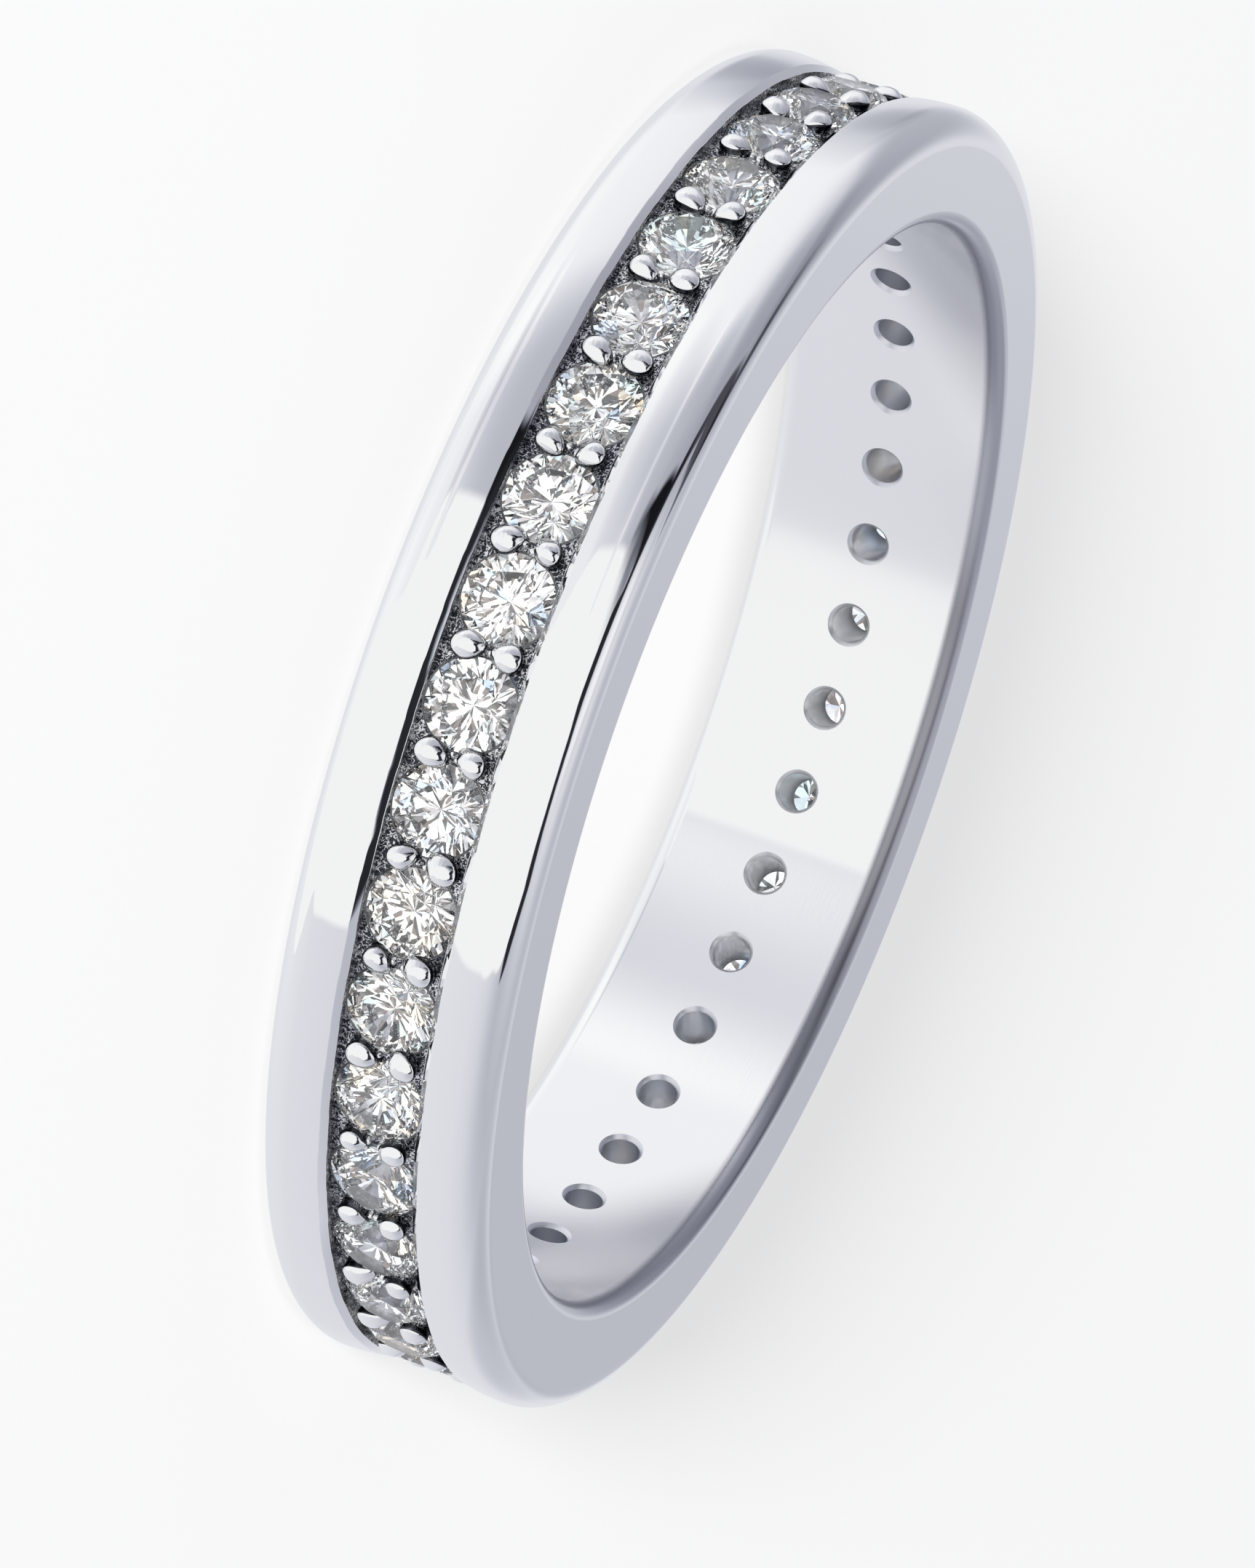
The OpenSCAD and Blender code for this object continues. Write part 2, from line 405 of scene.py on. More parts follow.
def polishedGold():
    # buffed and rhodium bright: a clear mirror with hazy patches and hair-fine buffing marks, with painted shade on the
    # upper inner rim and towards the bore's ends
    material, g = newMaterial("polishedWhiteGold")
    place = g.node("ShaderNodeTexCoord", out="Object")
    haze = g.noise(place, *polish["hazeNoise"])
    stretched = g.node("ShaderNodeMapping", inputs={"Vector": place, "Scale": polish["hairlineStretch"]})
    marks = g.noise(stretched, *polish["hairlineNoise"])
    colour = g.blend(haze, polish["colour"], dimmed(polish["colour"], polish["hazeShade"]))
    x, y, z = g.split(place)
    fromAxis = (x * x + y * y) ** 0.5
    inside = g.fall(fromAxis, *polish["boreRadii"])
    # painted shade: the upper inner rim painted dark next to the bore, paler towards the side face and at its ends
    rim = g.rise(z, *polish["rimHeights"]) * g.fall(fromAxis, *polish["rimRadii"])
    rimEnds = g.rise(abs(x), *polish["rimEnds"])
    paintedPale = g.rise(fromAxis, *polish["rimPaintedPaleRadii"]) * (1 - rimEnds) + rimEnds * polish["rimEndsPaintedPale"]
    colour = g.blend(rim, colour, g.blend(paintedPale, polish["rimPaintedDark"], polish["rimPaintedPale"]))
    # painted shade: the bore's colour darkened and tinted lavender towards both ends and the upper side
    corner = abs(x - polish["endShadeMiddle"]) + (z - ring["halfWidth"] / 1000) * polish["endShadeSlope"]
    shaded = inside * g.rise(corner, *polish["endShadeFrom"])
    colour = g.blend(shaded, colour, g.tinted(colour, polish["endShade"]))
    ends = inside * g.rise(abs(x - polish["endMiddle"]), *polish["endFrom"])
    roughness = polish["roughness"] + polish["wear"] * g.rise(haze, *polish["wearFrom"])
    roughness = roughness + polish["rimRoughness"] * rim * (1 - polish["rimEndsSmoother"] * rimEnds)
    roughness = roughness + polish["endRoughness"] * ends
    return finished(material, g, {
        "Base Color": colour, "Metallic": 1.0, "Roughness": roughness,
        "Normal": g.bump(polish["hairlines"], polish["hairlineDepth"], marks)})


rawCutShaded = {
    "recessShade": (0.045, 0.048, 0.062),
    "ridgeGlint": (0.92, 0.93, 0.95),
    "wormNoise": (17000.0, 2.0, 0.6),
    "wormWidth": 9,           # the higher the narrower
    "coarseNoise": (3740.0, 2.0),
    "coarseShare": 0.9,
    "brightFrom": (0.95, 1.35),
    "roughness": (0.16, 0.2),    # the least, and how much the noise adds
    "relief": 0.5,
    "reliefDepth": 0.00002,
}


def cutShadedGold():
    # the channel between the stones: left rough as the graver and the casting leave it, with painted shade in its
    # colour, near black, and bright little ridges painted in as glints
    material, g = newMaterial("cutShadedWhiteGold")
    place = g.node("ShaderNodeTexCoord", out="Object")
    worms, coarse = g.noise(place, *rawCutShaded["wormNoise"]), g.noise(place, *rawCutShaded["coarseNoise"])
    ridge = 1 - abs(worms - 0.5) * rawCutShaded["wormWidth"]
    # painted shade: near black, broken by bright little ridges that stand in for glints
    bright = g.rise(ridge + coarse * rawCutShaded["coarseShare"], *rawCutShaded["brightFrom"])
    least, added = rawCutShaded["roughness"]
    return finished(material, g, {
        "Base Color": g.blend(bright, rawCutShaded["recessShade"], rawCutShaded["ridgeGlint"]), "Metallic": 1.0,
        "Roughness": least + added * coarse, "Normal": g.bump(rawCutShaded["relief"], rawCutShaded["reliefDepth"], worms + coarse)})


creviceShade = {
    "dark": (0.045, 0.047, 0.058),
    "paler": (0.24, 0.245, 0.27),
    "palerFrom": (0.5, 0.75),
    "blotchNoise": (5000.0, 2.0),
    "roughness": (0.14, 0.12),
    "relief": 0.1,
    "reliefDepth": 0.00001,
}


def creviceShadeGold():
    # the feet of the grains, where no buff reaches: smooth from the beading tool, and painted shade in its colour, near
    # black, for the dark under each grain
    material, g = newMaterial("creviceShadeWhiteGold")
    place = g.node("ShaderNodeTexCoord", out="Object")
    blotches = g.noise(place, *creviceShade["blotchNoise"])
    least, added = creviceShade["roughness"]
    # painted shade: near black, in paler blotches
    return finished(material, g, {
        "Base Color": g.blend(g.rise(blotches, *creviceShade["palerFrom"]), creviceShade["dark"], creviceShade["paler"]), "Metallic": 1.0,
        "Roughness": least + added * blotches, "Normal": g.bump(creviceShade["relief"], creviceShade["reliefDepth"], blotches)})


satin = {
    "colour": (0.80, 0.805, 0.83),
    "grainNoise": (9000.0, 3.0),
    "grainShade": 0.8,
    "roughness": (0.32, 0.1),
    "relief": 0.15,
    "reliefDepth": 0.00001,
    "deep": (0.80, 0.815, 0.86),    # inside the azure holes, the darker of two painted tones
    "lit": (0.93, 0.935, 0.95),     # and painted light in those that the light falls into, near the ring's middle
    "litMiddle": -0.0008,           # m, as the next two
    "litFade": (0.0026, 0.0044),
    "holeRadii": (0.0092, 0.0095),
}


def satinGold():
    # seats and azure holes: bright from the drill, never buffed; painted light in the holes near the ring's middle
    material, g = newMaterial("satinWhiteGold")
    place = g.node("ShaderNodeTexCoord", out="Object")
    grain = g.noise(place, *satin["grainNoise"])
    colour = g.blend(grain, satin["colour"], dimmed(satin["colour"], satin["grainShade"]))
    x, y, z = g.split(place)
    # painted light: the azure holes near the ring's middle lighter than the rest
    hole = g.blend(g.rise(abs(x - satin["litMiddle"]), *satin["litFade"]), satin["lit"], satin["deep"])
    colour = g.blend(g.rise((x * x + y * y) ** 0.5, *satin["holeRadii"]), hole, colour)
    least, added = satin["roughness"]
    return finished(material, g, {
        "Base Color": colour, "Metallic": 1.0, "Roughness": least + added * grain,
        "Normal": g.bump(satin["relief"], satin["reliefDepth"], grain)})


gem = {
    "colour": (1.0, 0.997, 0.99),
    "cloud": (0.97, 0.98, 0.985),
    "cloudNoise": (900.0, 1.0),
    "index": 2.2,
}


def clearBrilliant():
    # colourless; a few facets carry a trace of blue or amber, painted light that stands in for its fire
    material, g = newMaterial("clearBrilliant")
    fire = g.node("ShaderNodeAttribute", {"attribute_name": "fire"}, out="Color")
    place = g.node("ShaderNodeTexCoord", out="Object")
    body = g.blend(g.noise(place, *gem["cloudNoise"]), gem["colour"], gem["cloud"])
    return finished(material, g, {
        "Base Color": g.tinted(fire, body), "Roughness": 0.0, "IOR": gem["index"], "Transmission Weight": 1.0})


goldPolished, goldCutShaded, goldCreviceShade, goldSatin = polishedGold(), cutShadedGold(), creviceShadeGold(), satinGold()
stoneClear = clearBrilliant()
print("materials made")


# mesh helpers
cellTurn = 2 * pi / ring["cells"]
halfStops = np.array(ring["seatTurns"]) * cellTurn / 2
columnTurns = np.concatenate([-halfStops[:0:-1], halfStops])           # one cell, both ends
wholeTurns = (columnTurns[None, :-1] + cellTurn * np.arange(ring["cells"])[:, None]).ravel()


def meshPiece(name, points, faces, materials, exact=None, creases=35, marks=None):
    # points: N x 3 in mm from the ring's middle plane; faces: arrays of quads or triangles
    # exact: the surface's own normals, worked out from its formula, and nan where the mesh's own will do
    # creases: degrees, 0 for flat facets; marks: the material of each face
    points = np.asarray(points, float).reshape(-1, 3)
    key = np.unique(np.round(points, 6), axis=0, return_index=True, return_inverse=True)
    order, inverse = key[1], key[2].ravel()
    points = (points[order] + (0, 0, ring["halfWidth"])) / 1000
    exact = None if exact is None else np.asarray(exact, float).reshape(-1, 3)[order]
    faces = [inverse[np.asarray(part)] for part in faces]
    mesh = bpy.data.meshes.new(name)
    mesh.vertices.add(len(points))
    mesh.vertices.foreach_set("co", points.astype(np.float32).ravel())
    corners = np.concatenate([part.ravel() for part in faces])
    sizes = np.concatenate([np.full(len(part), part.shape[1]) for part in faces])
    mesh.loops.add(len(corners))
    mesh.loops.foreach_set("vertex_index", corners.astype(np.int32))
    mesh.polygons.add(len(sizes))
    mesh.polygons.foreach_set("loop_start", np.concatenate([[0], np.cumsum(sizes)[:-1]]).astype(np.int32))
    for material in materials:
        mesh.materials.append(material)
    if marks is not None:
        mesh.polygons.foreach_set("material_index", np.asarray(marks, np.int32))
    mesh.update(calc_edges=True)
    mesh.validate()
    if creases:
        mesh.polygons.foreach_set("use_smooth", np.ones(len(mesh.polygons), bool))
        mesh.set_sharp_from_angle(angle=radians(creases))
    else:
        mesh.shade_flat()
    if exact is not None:
        own = np.empty(len(mesh.loops) * 3, np.float32)
        mesh.corner_normals.foreach_get("vector", own)
        own = own.reshape(-1, 3)
        corner = np.empty(len(mesh.loops), np.int32)
        mesh.loops.foreach_get("vertex_index", corner)
        known = ~np.isnan(exact[corner, 0])
        own[known] = exact[corner][known]
        mesh.normals_split_custom_set(own)
    piece = bpy.data.objects.new(name, mesh)
    bpy.context.scene.collection.objects.link(piece)
    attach(piece, "root")
    print(name, len(mesh.polygons), "faces")
    return piece


def roundTheAxis(radius, turn, height):
    return np.stack(np.broadcast_arrays(radius * np.cos(turn), radius * np.sin(turn), height), -1)


def fromLocal(out, across, along, turn):
    # out: along a stone's own axis, across: round the ring, along: along the finger
    return np.stack(np.broadcast_arrays(
        out * np.cos(turn) - across * np.sin(turn), out * np.sin(turn) + across * np.cos(turn), along), -1)


def gridFaces(rows, columns, start=0, flip=False):
    # quads between rows of points, the last column joined to the first
    i, j = np.meshgrid(np.arange(rows - 1), np.arange(columns), indexing="ij")
    k = (j + 1) % columns
    quads = np.stack([i * columns + j, (i + 1) * columns + j, (i + 1) * columns + k, i * columns + k], -1)
    quads = quads.reshape(-1, 4) + start
    return quads[:, ::-1] if flip else quads


def fromStone(turn):
    # the turn from the middle of the nearest stone
    return (turn + cellTurn / 2) % cellTurn - cellTurn / 2


# rails and sides, mm
rails = {
    "seam": 1.45,             # where the bore piece takes over
    "boreRow": 1.5,
    "innerRounding": 0.25,
    "innerSteps": 9,
    "sideRadii": (9.0, 9.35, 9.6),
    "outerRounding": 0.5,
    "outerSteps": 16,
    "crest": 10.2485,
    "domeRadius": 2.5,
    "domeEnd": 0.80,          # from the middle plane
    "domeSteps": 12,
    "edgeRounding": 0.035,
    "bevelTilt": (38.5, 42),  # degrees, from its start to its end
    "bevelWidth": 0.11,
    "bevelSteps": 4,
    "markDepth": 0.008,       # how far the edge steps out beside a stone
    "markHalf": 0.42,         # half the length of that step
    "markEnd": 0.03,          # half the length of its end
    "markRadius": 10.1,
    "lip": (0.008, 0.012),    # the small break between bevel and wall, down and in
    "scallopLow": 0.745,      # radius of the cutter's mark low in the wall, round each stone
    "ledge": 10.0,
    "ledgeTop": 0.03,
    "ledgeRounding": (0.01, 0.015),    # up and in
}


def wallLine(turn, cut):
    # the wall stands at wallHalf, and at the cutter's circle where that is further out
    across = ring["floorRadius"] * np.sin(fromStone(turn))
    return np.maximum(ring["wallHalf"], np.sqrt(np.maximum(cut ** 2 - across ** 2, 0)))


def edgeMark(turn):
    # 1 beside a stone and 0 between stones, with short ends
    off = np.abs(fromStone(turn)) * rails["markRadius"]
    return 1 - np.clip((off - rails["markHalf"] + rails["markEnd"]) / (2 * rails["markEnd"]), 0, 1)


def makeRails():
    # a profile of arcs and flats carried round the axis: bore, inner rounding, flat side, outer rounding,
    # shallow dome, small edge rounding, bevel, wall and ledge. The last ones step out where a stone's cutter marked
    # the wall
    bore, half = ring["boreRadius"], ring["halfWidth"]
    inner, outer = rails["innerRounding"], rails["outerRounding"]
    dome, edge = rails["domeRadius"], rails["edgeRounding"]
    ledge, floor = rails["ledge"], ring["floorRadius"]
    crest = half - outer
    sideTop = rails["crest"] - outer
    domeMiddle = rails["crest"] - dome
    low = wallLine(wholeTurns, rails["scallopLow"])
    shift = rails["markDepth"] * edgeMark(wholeTurns)
    many = len(wholeTurns)
    radius, height, normalOut, normalUp = [], [], [], []

    def add(r, z, nr=np.nan, nz=np.nan):
        for store, value in zip((radius, height, normalOut, normalUp), (r, z, nr, nz)):
            store.append(np.broadcast_to(value, (many,)))

    for z in (rails["seam"], rails["boreRow"], half - inner):
        add(bore, z, -1, 0)
    for a in np.radians(np.linspace(180, 90, rails["innerSteps"] + 1)[1:]):
        add(bore + inner + inner * np.cos(a), half - inner + inner * np.sin(a), np.cos(a), np.sin(a))
    for r in rails["sideRadii"]:
        add(r, half, 0, 1)
    for a in np.radians(np.linspace(90, 0, rails["outerSteps"] + 1)):
        add(sideTop + outer * np.cos(a), crest + outer * np.sin(a), np.cos(a), np.sin(a))
    endTilt = np.arcsin((crest - rails["domeEnd"] - shift) / dome)
    for share in np.linspace(0, 1, rails["domeSteps"] + 1)[1:]:
        a = -endTilt * share
        add(domeMiddle + dome * np.cos(a), crest + dome * np.sin(a), np.cos(a), np.sin(a))
    r, z, tilt = domeMiddle + dome * np.cos(endTilt), crest - dome * np.sin(endTilt), endTilt
    start, stop = np.radians(rails["bevelTilt"])
    bend = rails["bevelWidth"] / (stop - start)
    for bendRadius, target in ((edge, start), (bend, stop)):
        first = tilt
        middleR, middleZ = r - bendRadius * np.cos(first), z + bendRadius * np.sin(first)
        for share in np.linspace(0, 1, rails["bevelSteps"] + 1)[1:]:
            tilt = first + (target - first) * share
            r, z = middleR + bendRadius * np.cos(tilt), middleZ - bendRadius * np.sin(tilt)
            add(r, z, np.cos(tilt), -np.sin(tilt))
    buffed = len(radius)
    lipDown, lipIn = rails["lip"]
    roundUp, roundIn = rails["ledgeRounding"]
    wall = z - lipIn
    add(r - lipDown, wall)
    add(ledge + rails["ledgeTop"], wall)
    add(ledge + roundUp, np.maximum(low, wall - roundIn))
    for r in (ledge, (ledge + floor) / 2, floor):
        add(r, low)
    radius, height, normalOut, normalUp = (np.array(part) for part in (radius, height, normalOut, normalUp))
    rows = len(radius)
    points, normals, faces, marks = [], [], [], []
    for side in (1, -1):
        points.append(roundTheAxis(radius, wholeTurns, side * height).reshape(-1, 3))
        normals.append(roundTheAxis(normalOut, wholeTurns, side * normalUp).reshape(-1, 3))
        faces.append(gridFaces(rows, many, rows * many * (side < 0), side < 0))
        marks.append(np.repeat(np.arange(rows - 1) >= buffed, many))
    piece = meshPiece("bandRails", np.concatenate(points), [np.concatenate(faces)], [goldPolished, goldCutShaded],
                      np.concatenate(normals), 35, np.concatenate(marks))
    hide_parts("band")


makeRails()

# bore, azure holes, seats and channel floor, mm; heights are above the axis
seats = {
    "mouthRadius": 0.345,
    "chamfer": (0.31, 8.53),      # radius and height
    "azureRadius": 0.29,
    "azureRows": (8.56, 8.8, 9.1, 9.35),
    "sheetEnd": 9.1,              # the row where the channel piece takes over
    "coneLow": 9.50,
    "coneTop": (0.71, 9.87),
    "shoulder": (0.722, 9.884),
    "rim": 0.735,
    # shares of the way, for the rows of points
    "boreShares": (1, 0.8, 0.6, 0.42, 0.26, 0.13, 0.04, 0),
    "coneShares": (0.01, 0.33, 0.66, 1),
    "floorShares": (0, 0.03, 0.2, 0.4, 0.6, 0.8, 1),
}


def cellOutline(line):
    # once round one cell's oblong, anticlockwise from its lower right: turn and height of each point
    up = np.linspace(-1, 1, ring["outlineRows"] + 1)
    end = np.full(len(up) - 1, cellTurn / 2)
    turn = np.concatenate([end, columnTurns[:0:-1], -end, columnTurns[:-1]])
    height = np.concatenate([up[:-1] * line[0], line[:0:-1], up[:0:-1] * line[0], -line[:-1]])
    return turn, height


def makeInside():
    # each cell is one sheet of rings: from the bore's oblong in to the azure hole's mouth, up the hole, out along
    # the seat's cone, over the rim, and across the channel floor to the cell's oblong
    floorTurn, floorHeight = cellOutline(wallLine(columnTurns, rails["scallopLow"]))
    boreTurn, boreHeight = cellOutline(np.full(len(columnTurns), rails["seam"]))
    angle = np.arctan2(floorHeight, ring["floorRadius"] * np.sin(floorTurn))
    cosine, sine = np.cos(angle), np.sin(angle)
    azure, coneLow = seats["azureRadius"], seats["coneLow"]
    rows = []

    def ringRow(r, out):
        # a circle round the stone's axis
        across, along = r * cosine, r * sine
        rows.append((np.hypot(out, across), np.arctan2(across, out), along))

    def spread(tube, r, farTurn, farHeight, shares):
        # from a circle drawn on a cylinder of radius tube to the outline on it
        nearTurn, nearHeight = np.arcsin(r * cosine / tube), r * sine
        for share in shares:
            rows.append((np.full(len(angle), tube), nearTurn + (farTurn - nearTurn) * share,
                         nearHeight + (farHeight - nearHeight) * share))

    spread(ring["boreRadius"], seats["mouthRadius"], boreTurn, boreHeight, seats["boreShares"])
    boreRows = len(rows)
    ringRow(*seats["chamfer"])
    for out in seats["azureRows"]:
        ringRow(azure, out)
        if out == seats["sheetEnd"]:
            cut = len(rows)
    ringRow(azure, coneLow)
    coneRadius, coneHeight = seats["coneTop"]
    for share in seats["coneShares"]:
        ringRow(azure + (coneRadius - azure) * share, coneLow + (coneHeight - coneLow) * share)
    ringRow(*seats["shoulder"])
    floorFrom = len(rows)
    spread(ring["floorRadius"], seats["rim"], floorTurn, floorHeight, seats["floorShares"])
    radius, turn, height = (np.array([row[k] for row in rows]) for k in range(3))
    around = turn[None] + cellTurn * np.arange(ring["cells"])[:, None, None]
    spokes = len(angle)

    def sheet(name, first, last, material, exact, satinRows):
        r, t, z = radius[first:last], around[:, first:last], height[first:last]
        points = roundTheAxis(r[None], t, z[None])
        starts = np.arange(ring["cells"]) * (last - first) * spokes
        faces = (gridFaces(last - first, spokes)[None] + starts[:, None, None]).reshape(-1, 4)
        normals = None
        if exact:
            normals = roundTheAxis(-1.0, t, 0.0)
            normals[:, boreRows - 1:] = np.nan
        marks = np.tile(np.repeat(satinRows, spokes), ring["cells"])
        piece = meshPiece(name, points, [faces], [material, goldSatin], normals, 30, marks)
        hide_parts("band")

    sheet("bandBore", 0, cut, goldPolished, True, np.arange(cut - 1) >= boreRows - 1)
    sheet("bandChannel", cut - 1, len(rows), goldCutShaded, False, np.arange(cut - 1, len(rows) - 1) < floorFrom)


makeInside()

# grains, mm
grains = {
    "radius": 0.212,
    "top": 10.23,
    "middle": 10.06,         # height of the widest line
    "foot": 0.012,           # how far below the channel floor it starts
    "beside": 0.344,         # from the ring's middle plane
    "tail": 0.42,            # how far the metal is drawn out towards the stones, in radii
    "tailWidth": 0.62,       # radians
    "tailLean": 0.35,        # how far the tail points to one of the two stones
    "tailDrop": 0.10,        # how much lower the widest line is there
    "tailShares": (0.75, 0.5),    # the shortest tail, and how much chance adds
    "ripple": 0.03,
    "flank": 3.0,            # how much slower the profile bends at the flank
    "flankAt": (41.5, 7),    # degrees
    "flat": 1.6,             # and near the top
    "flatWidth": 16,         # degrees
    "stemWide": (0.96, 0.93, 0.96, 1.06),    # the stem below the widest line: its width in radii
    "stemDown": (0.35, 0.65, 0.87, 1.0),     # and how far down that is
    "rows": 11,
    "columns": 22,
    "polishedRows": 7,       # the rows from the top that the beading tool polished
    "uneven": {"radius": 0.05, "beside": 0.006, "top": 0.012, "middle": 0.008, "tilt": 0.012, "tailAngle": 0.25},
}
nibs = {
    "radius": 0.055,
    "top": 10.03,
    "middle": 9.965,
    "foot": 0.01,
    "beside": 0.075,
    "turns": (0.0028, -0.0022),   # radians, on the upper and on the lower side
    "tail": 0.5,
    "tailWidth": 0.7,
    "rows": 4,
    "columns": 12,
    "uneven": {"radius": 0.15, "beside": 0.02, "top": 0.012, "tilt": 0.01, "turn": 0.001},
}


def domes(place, radius, top, middle, low, tailAngle, tail, tailWidth, tilt, rowsUp, columns, flank):
    # a dome over a teardrop outline. Its profile turns from level to upright, slowly at the flank: the radius is the
    # running sum of the bend's size times the cosine of the tilt, the drop that of its sine. Then a short stem that
    # spreads at its foot. place: turn and height of each, all other values one for each
    tilts = np.linspace(0, pi / 2, 901)
    flankAt, flankWidth = grains["flankAt"]
    bend = 1 + flank * np.exp(-((np.degrees(tilts) - flankAt) / flankWidth) ** 2)
    bend = bend + grains["flat"] * np.exp(-(np.degrees(tilts) / grains["flatWidth"]) ** 2)
    outward, downward = np.cumsum(bend * np.cos(tilts)), np.cumsum(bend * np.sin(tilts))
    picks = np.linspace(0, len(tilts) - 1, rowsUp + 1).astype(int)[1:]
    outwards, rises = outward[picks] / outward[-1], 1 - downward[picks] / downward[-1]
    theta = np.arange(columns) * 2 * pi / columns
    apart = (theta[None] - tailAngle[:, None] + pi) % (2 * pi) - pi
    drawn = np.exp(-(apart / tailWidth) ** 2)
    ripple = grains["ripple"] * np.cos(3 * theta[None] + 9 * tail[:, None])
    outline = radius[:, None] * (1 + tail[:, None] * drawn + ripple)
    widest = (middle[:, None] - grains["tailDrop"] * drawn * (tail[:, None] / grains["tail"]))[:, None]
    share = np.concatenate([outwards, grains["stemWide"]])
    rise = np.concatenate([rises, np.zeros(len(grains["stemDown"]))])[None, :, None]
    down = np.concatenate([np.zeros(rowsUp), grains["stemDown"]])[None, :, None]
    r = outline[:, None] * share[None, :, None]
    out = widest + (top[:, None, None] - widest) * rise - (widest - low) * down
    across, along = r * np.cos(theta) + rise * tilt[:, None, None], r * np.sin(theta) + place[1][:, None, None]
    points = fromLocal(out, across, along, place[0][:, None, None])
    poles = fromLocal(top, tilt, place[1], place[0])
    many, rows = len(radius), len(share)
    starts = np.arange(many) * rows * columns
    quads = (gridFaces(rows, columns)[None] + starts[:, None, None]).reshape(-1, 4)[:, ::-1]
    j = np.arange(columns)
    caps = np.stack(np.broadcast_arrays(
        many * rows * columns + np.arange(many)[:, None], starts[:, None] + j, starts[:, None] + (j + 1) % columns), -1)
    return np.concatenate([points.reshape(-1, 3), poles]), quads, caps.reshape(-1, 3)


def makeGrains():
    turn = np.repeat((np.arange(ring["cells"]) + 0.5) * cellTurn, 2)
    side = np.tile((1.0, -1.0), ring["cells"])
    many = len(turn)
    off = grains["uneven"]

    def uneven(size):
        return random.normal(0, size, many)

    toStone = np.where(random.random(many) < 0.5, 0.0, pi)                 # which stone the tail lies over
    tailAngle = side * ((toStone - pi / 2) * grains["tailLean"] - pi / 2) + uneven(off["tailAngle"])
    shortest, added = grains["tailShares"]
    tail = grains["tail"] * (shortest + added * random.random(many))
    points, quads, caps = domes(
        (turn, side * grains["beside"] + uneven(off["beside"])), grains["radius"] * (1 + uneven(off["radius"])),
        grains["top"] - np.abs(uneven(off["top"])), grains["middle"] + uneven(off["middle"]),
        ring["floorRadius"] - grains["foot"], tailAngle, tail, grains["tailWidth"], uneven(off["tilt"]),
        grains["rows"], grains["columns"], grains["flank"])
    # below the polished rows the grains take the crevice's painted shade, and their stems the channel's
    strip = np.arange(grains["rows"] + len(grains["stemDown"]) - 1)
    bands = np.repeat((strip >= grains["polishedRows"]) * 1 + (strip >= grains["rows"]), grains["columns"])
    marks = np.concatenate([np.tile(bands, many), np.zeros(len(caps))])
    piece = meshPiece("bandGrains", points, [quads, caps], [goldPolished, goldCreviceShade, goldCutShaded], None, 60,
                      marks)
    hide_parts("band")
    # little nibs of metal between each pair of grains
    off = nibs["uneven"]
    nibTurn = turn + np.where(side > 0, *nibs["turns"]) + uneven(off["turn"])
    points, quads, caps = domes(
        (nibTurn, side * nibs["beside"] + uneven(off["beside"])), nibs["radius"] * (1 + uneven(off["radius"])),
        nibs["top"] + uneven(off["top"]), np.full(many, nibs["middle"]), ring["floorRadius"] - nibs["foot"],
        random.random(many) * 2 * pi, np.full(many, nibs["tail"]), nibs["tailWidth"], uneven(off["tilt"]),
        nibs["rows"], nibs["columns"], 0.0)
    piece = meshPiece("bandNibs", points, [quads, caps], [goldPolished], None, 60)
    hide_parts("band")


makeGrains()

# brilliants, mm
brilliants = {
    "radius": 0.7,
    "tableRadius": 0.4,
    "table": 10.15,          # heights above the ring's axis
    "girdleTop": 9.94,
    "girdleMiddle": 9.92,
    "girdleLow": 9.90,
    "culet": 9.30,
    "starShare": 0.5,
    "lowerShare": 0.77,
    "arc": 6,                # girdle steps to each half facet
    "uneven": 0.008,         # how far the facets' corners are off, as on any small stone
    # how many times that, outward, round and up
    "tableOff": (0.8, 4, 0),
    "kiteOff": (1.2, 4, 0.6),
    "mainOff": (2, 12, 1),
    "lean": 0.008,           # radians
    "fireShare": 0.10,       # share of the facets with a trace of colour
    "fireColours": [(0.55, 0.72, 1.0), (1.0, 0.78, 0.52), (0.72, 0.95, 0.98), (1.0, 0.9, 0.74)],
}


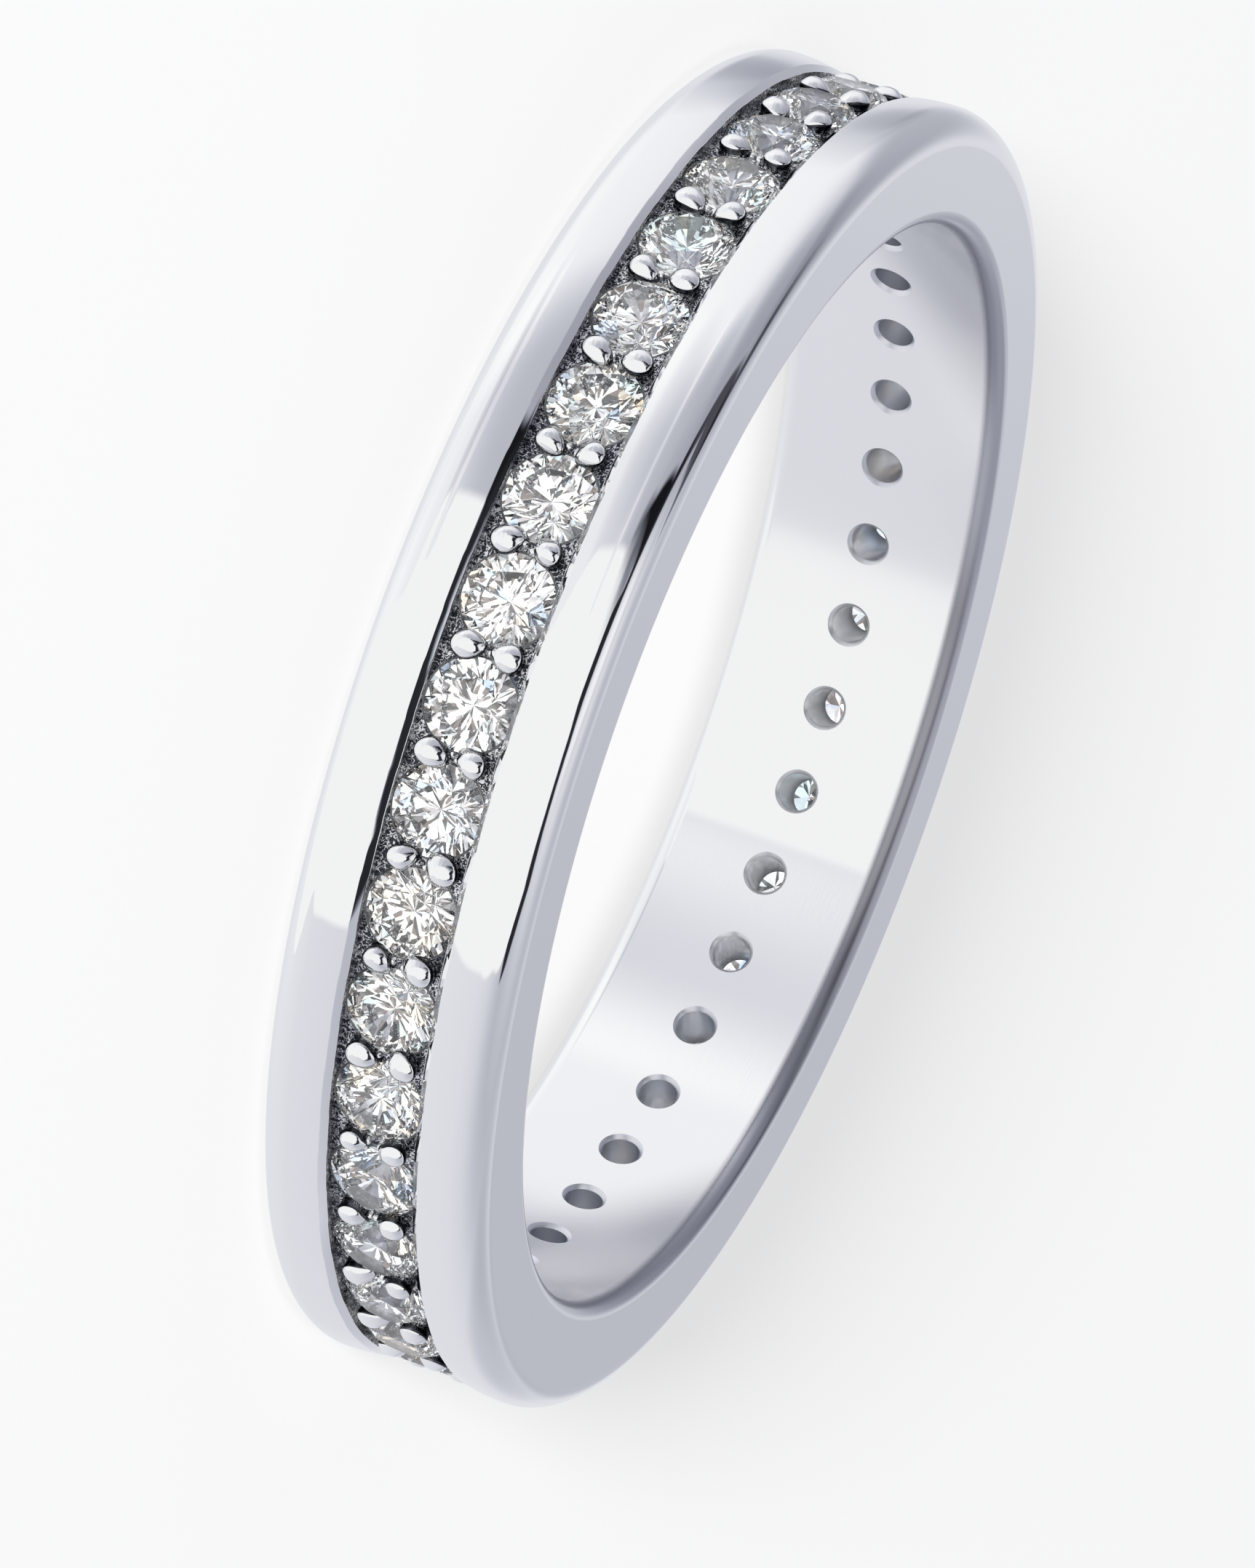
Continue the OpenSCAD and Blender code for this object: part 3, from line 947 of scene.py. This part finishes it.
def brilliantShape():
    # table corners, kite corners and girdle points; the girdle's two edges lie where its cylinder meets
    # the planes of the half facets, so they are scalloped as on a cut stone
    r, rt = brilliants["radius"], brilliants["tableRadius"]
    crown = (brilliants["table"] - brilliants["girdleTop"]) / (r - rt)
    pavilion = (brilliants["girdleLow"] - brilliants["culet"]) / r
    eighth, half = 2 * pi / 8, pi / 8
    k = np.arange(8)

    def corners(radius, turns, height, sizes):
        # eight corners on a circle, each a little off
        off = [random.normal(0, brilliants["uneven"] * size, 8) if size else 0 for size in sizes]
        return roundTheAxis(radius + off[0], turns + off[1], height + off[2])

    starRadius = rt * np.cos(half) + brilliants["starShare"] * (r - rt * np.cos(half))
    lowerRadius = r * (1 - brilliants["lowerShare"]) / np.cos(half)
    table = corners(rt, k * eighth, brilliants["table"], brilliants["tableOff"])
    kite = corners(starRadius, k * eighth + half, brilliants["table"] - (starRadius * np.cos(half) - rt) * crown,
                   brilliants["kiteOff"])
    mains = corners(lowerRadius, k * eighth + half, brilliants["culet"] + lowerRadius * np.cos(half) * pavilion,
                    brilliants["mainOff"])
    steps = brilliants["arc"] * 16
    turn = np.arange(steps) * 2 * pi / steps
    ends = roundTheAxis(r, np.arange(16) * half, 0.0)

    def girdle(tips, height):
        # height of the half facet's plane at each girdle point
        which = np.arange(steps) // brilliants["arc"]
        a, b, c = ends[which] + (0, 0, height), ends[(which + 1) % 16] + (0, 0, height), tips[which // 2]
        n = np.cross(b - a, c - a)
        x, y = r * np.cos(turn), r * np.sin(turn)
        return a[:, 2] - (n[:, 0] * (x - a[:, 0]) + n[:, 1] * (y - a[:, 1])) / n[:, 2]

    upper = roundTheAxis(r, turn, girdle(kite, brilliants["girdleTop"]))
    lower = roundTheAxis(r, turn, girdle(mains, brilliants["girdleLow"]))
    points = np.concatenate([table, kite, upper, lower, mains, [(0, 0, brilliants["culet"])]])
    kiteAt, upperAt, lowerAt = 8, 16, 16 + steps
    mainAt, culetAt = 16 + 2 * steps, 24 + 2 * steps
    n = (k + 1) % 8
    far = brilliants["arc"] * 2
    j = np.arange(steps)
    nj = (j + 1) % steps
    # three corners, and the number of the facet that the triangle belongs to
    triangles = [
        (0, np.arange(1, 7), np.arange(2, 8), 0),                                        # table
        (k, kiteAt + k, n, 1 + k),                                                       # stars
        (n, kiteAt + k, upperAt + n * far, 9 + n),                                       # kites, both halves
        (n, upperAt + n * far, kiteAt + n, 9 + n),
        (kiteAt + j // far, upperAt + j, upperAt + nj, 17 + j // brilliants["arc"]),     # upper halves
        (upperAt + j, lowerAt + j, lowerAt + nj, 33),                                    # girdle
        (upperAt + j, lowerAt + nj, upperAt + nj, 33),
        (mainAt + j // far, lowerAt + nj, lowerAt + j, 34 + j // brilliants["arc"]),     # lower halves
        (culetAt, lowerAt + n * far, mainAt + k, 50 + n),                                # mains, both halves
        (culetAt, mainAt + n, lowerAt + n * far, 50 + n),
    ]
    rows = np.concatenate([np.stack(np.broadcast_arrays(*part), -1) for part in triangles])
    return points, rows[:, :3], rows[:, 3]


def makeBrilliants():
    middle = brilliants["girdleMiddle"]
    for number in range(ring["cells"]):
        points, faces, groups = brilliantShape()
        spin = random.uniform(0, 2 * pi)
        lean = random.normal(0, brilliants["lean"], 2)
        x = points[:, 0] * np.cos(spin) - points[:, 1] * np.sin(spin)
        y = points[:, 0] * np.sin(spin) + points[:, 1] * np.cos(spin)
        out = points[:, 2] - middle
        placed = fromLocal(middle + out + lean[0] * x + lean[1] * y, x - lean[0] * out, y - lean[1] * out,
                           number * cellTurn)
        piece = meshPiece(f"brilliant{number + 1:02d}", placed, [faces], [stoneClear], None, 0)
        tint = np.ones((groups.max() + 1, 4))
        lit = random.random(len(tint)) < brilliants["fireShare"]
        tint[lit, :3] = np.array(brilliants["fireColours"])[random.integers(0, 4, lit.sum())]
        fire = piece.data.color_attributes.new("fire", "FLOAT_COLOR", "CORNER")
        fire.data.foreach_set("color", np.repeat(tint[groups], 3, axis=0).astype(np.float32).ravel())
        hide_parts(f"stone_{number + 1:02d}")


makeBrilliants()
print("brilliants set")
